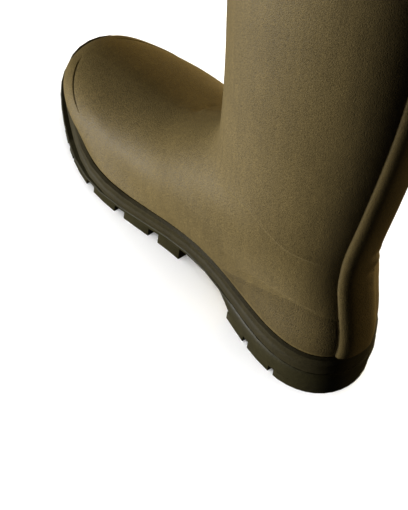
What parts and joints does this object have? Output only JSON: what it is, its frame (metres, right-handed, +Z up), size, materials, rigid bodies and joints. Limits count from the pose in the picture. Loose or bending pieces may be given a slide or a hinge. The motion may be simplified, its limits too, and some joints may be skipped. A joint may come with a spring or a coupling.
{
  "type": "rubber boot",
  "caption": "Tall left rubber boot, hollow and open at the collar, with a raised strip down the back, plies at toe and heel, a dark rand and a lugged sole.",
  "frame": {"origin": "middle of the bounding box on the floor the boot stands on", "axes": "+X to the toe, +Y to the boot's outer (left) side, +Z up the shaft"},
  "size_m": [0.3167, 0.125, 0.4121],
  "materials": {
    "olive_rubber": "matte, fine grain",
    "dark_rubber": "satin",
    "tread_rubber": "satin",
    "insole_felt": "felted"
  },
  "bodies": {
    "root": {"upper": "olive_rubber", "back_strip": "olive_rubber", "toe_guard": "olive_rubber", "heel_counter_outer": "olive_rubber", "heel_counter_inner": "olive_rubber", "rand": "dark_rubber", "outsole": "tread_rubber", "insole": "insole_felt"}
  },
  "joints": []
}
